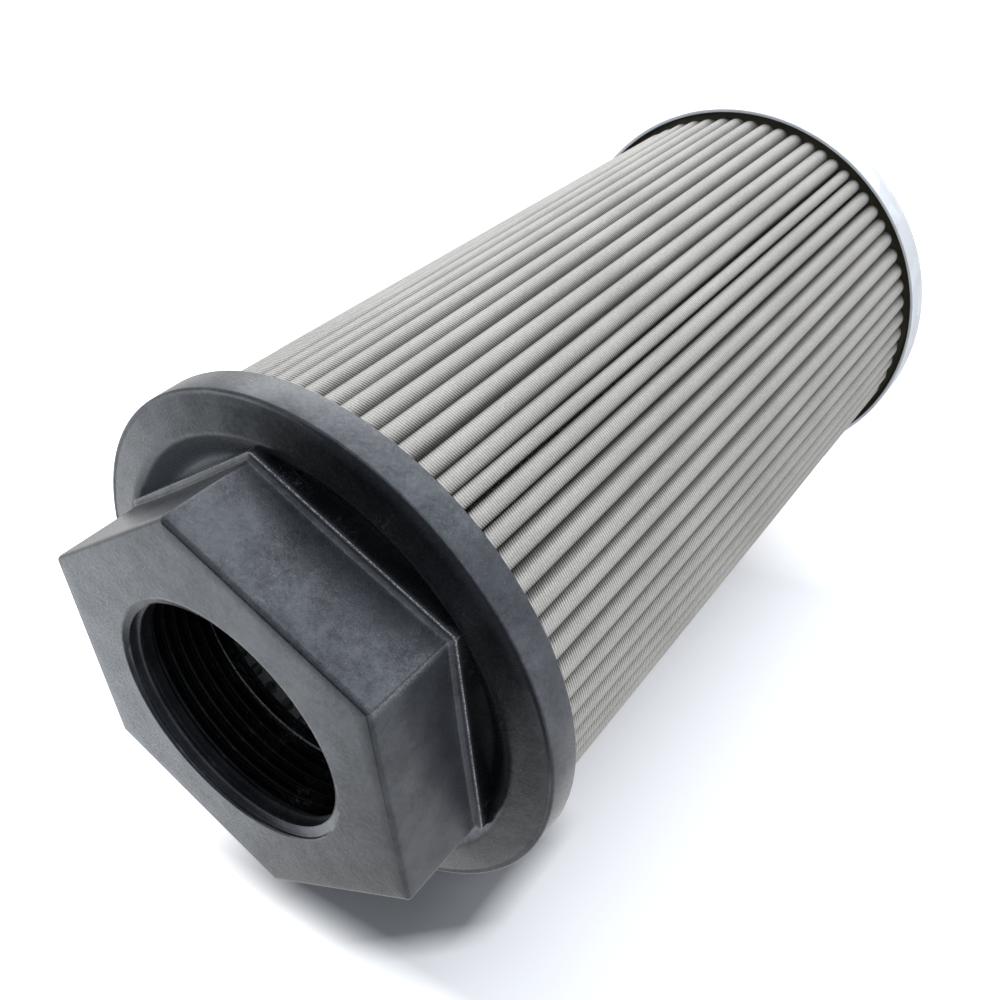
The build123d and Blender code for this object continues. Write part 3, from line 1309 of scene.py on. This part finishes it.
floor = stage_plane("floor", Vector((0, 0, -floor_drop * MM)), Vector((0, 0, 1)), 4000)
table_centre = table_normal * -(flange_radius + table_gap) * MM
table = stage_plane("table", table_centre, table_normal, 3000)
for plane in (floor, table):
    hide_from(plane, "diffuse", "glossy", "transmission", "volume_scatter", "shadow")
print("the table is", round(table_centre.length / MM, 1), "mm behind the axis")

# %% [markdown]
# The floor glows a little, so that it reads as pale paper in every view. Behind the table's plane
# that glow is weaker near the filter, which gives the soft shade that a view from above or from the
# side shows at its foot.

# %% Pale floor
floor_colour = (0.8, 0.82, 0.86, 1)
floor_glow = 0.74
floor_glow_loss = 0.34
floor_shade_behind = (50.5, 75.0)
floor_shade_radius = (170.0, 70.0)


def pale_floor():
    material, tree, shader = matt_material("pale_floor", floor_colour)
    spot = tree.nodes.new("ShaderNodeNewGeometry").outputs["Position"]
    behind = vector_maths(tree, "DOT_PRODUCT", spot, -table_normal)
    shade = product(
        tree,
        ramp(tree, behind, floor_shade_behind),
        ramp(tree, distance_from_axis(tree, spot), floor_shade_radius),
    )
    glow = remap(tree, shade, 0.0, 1.0, floor_glow, floor_glow - floor_glow_loss)
    glowing(tree, shader, glow)
    return material


paint(floor, pale_floor())

# %% [markdown]
# The mesh lies close over the table and shades it. The lamps are set for a standing filter and
# can't throw so short a shade there, so it is laid down by place: each pair of numbers gives the
# millimetres, up the filter's axis or aside of it, between which the shade fades in. Where the
# lamps' light falls off, the table glows more, so that the ground stays evenly pale.

# %% Pale table
table_colour = (0.86, 0.89, 0.96, 1)
shade_head_end = (193.5, 186.0)
shade_cap_end = (145.0, 155.0)
shade_left_side = (-34.0, -27.0)
shade_right_side = (30.0, 6.0)
shade_slope = -1.2
shade_slanted_side = (-249.0, -240.0)
shaded_colour_share = 0.45
shaded_glow_share = 0.02
table_glow = 0.3
aside_glow = 0.4
far_glow = 0.5
foot_glow = 1.2
aside_glow_ends = (-20.0, 30.0)
head_glow_ends = (188.0, 194.0)
far_glow_ends = (-250.0, -450.0)
foot_glow_ends = (5.0, 60.0)


def contact_shade(tree, height, aside):
    aslant = calculate(tree, "MULTIPLY_ADD", height, shade_slope, aside)
    return product(
        tree,
        ramp(tree, height, shade_head_end),
        ramp(tree, height, shade_cap_end),
        ramp(tree, aside, shade_left_side),
        ramp(tree, aside, shade_right_side),
        ramp(tree, aslant, shade_slanted_side),
    )


def pale_table():
    material, tree, shader = matt_material("pale_table", table_colour)
    geometry = tree.nodes.new("ShaderNodeNewGeometry").outputs
    height = split(tree, geometry["Position"])[2]
    aside = vector_maths(tree, "DOT_PRODUCT", geometry["Position"], table_sideways)
    shade = contact_shade(tree, height, aside)
    shaded = darkened(table_colour, shaded_colour_share)
    colour = blend_colours(tree, shade, table_colour, shaded)
    connect(tree, colour, shader.inputs["Base Color"])
    glow = total(
        tree,
        ramp(tree, aside, aside_glow_ends, table_glow, table_glow + aside_glow),
        ramp(tree, height, head_glow_ends, 0.0, far_glow),
        ramp(tree, aside, far_glow_ends, 0.0, far_glow),
    )
    glow = ramp(tree, height, foot_glow_ends, foot_glow, glow)
    open_light = remap(tree, shade, 0.0, 1.0, 1.0, shaded_glow_share)
    glowing(tree, shader, product(tree, open_light, glow))
    let_through(tree, shader, geometry["Backfacing"])
    return material


paint(table, pale_table())

# %% [markdown]
# A studio hangs a black card where a shiny part would only mirror white wall. Here it hangs over
# the head, and the dish between hexagon and rim mirrors it. It is seen in reflections only.

# %% Black card
card_direction = Vector((0.14, 0.48, 0.87)).normalized()
card_distance = 600
card_size = 560
card_aim = Vector((0, -20, seat_z))
card_centre = (card_aim + card_direction * card_distance) * MM
black_card = stage_plane("black_card", card_centre, -card_direction, card_size)
paint(black_card, matt_material("black_card_paint", (0.002, 0.002, 0.002, 1))[0])
hide_from(black_card, "camera", "diffuse", "transmission", "volume_scatter", "shadow")

# %% [markdown]
# The last cell fixes the colour handling.

# %% Finish
bpy.context.scene.view_settings.view_transform = "Standard"
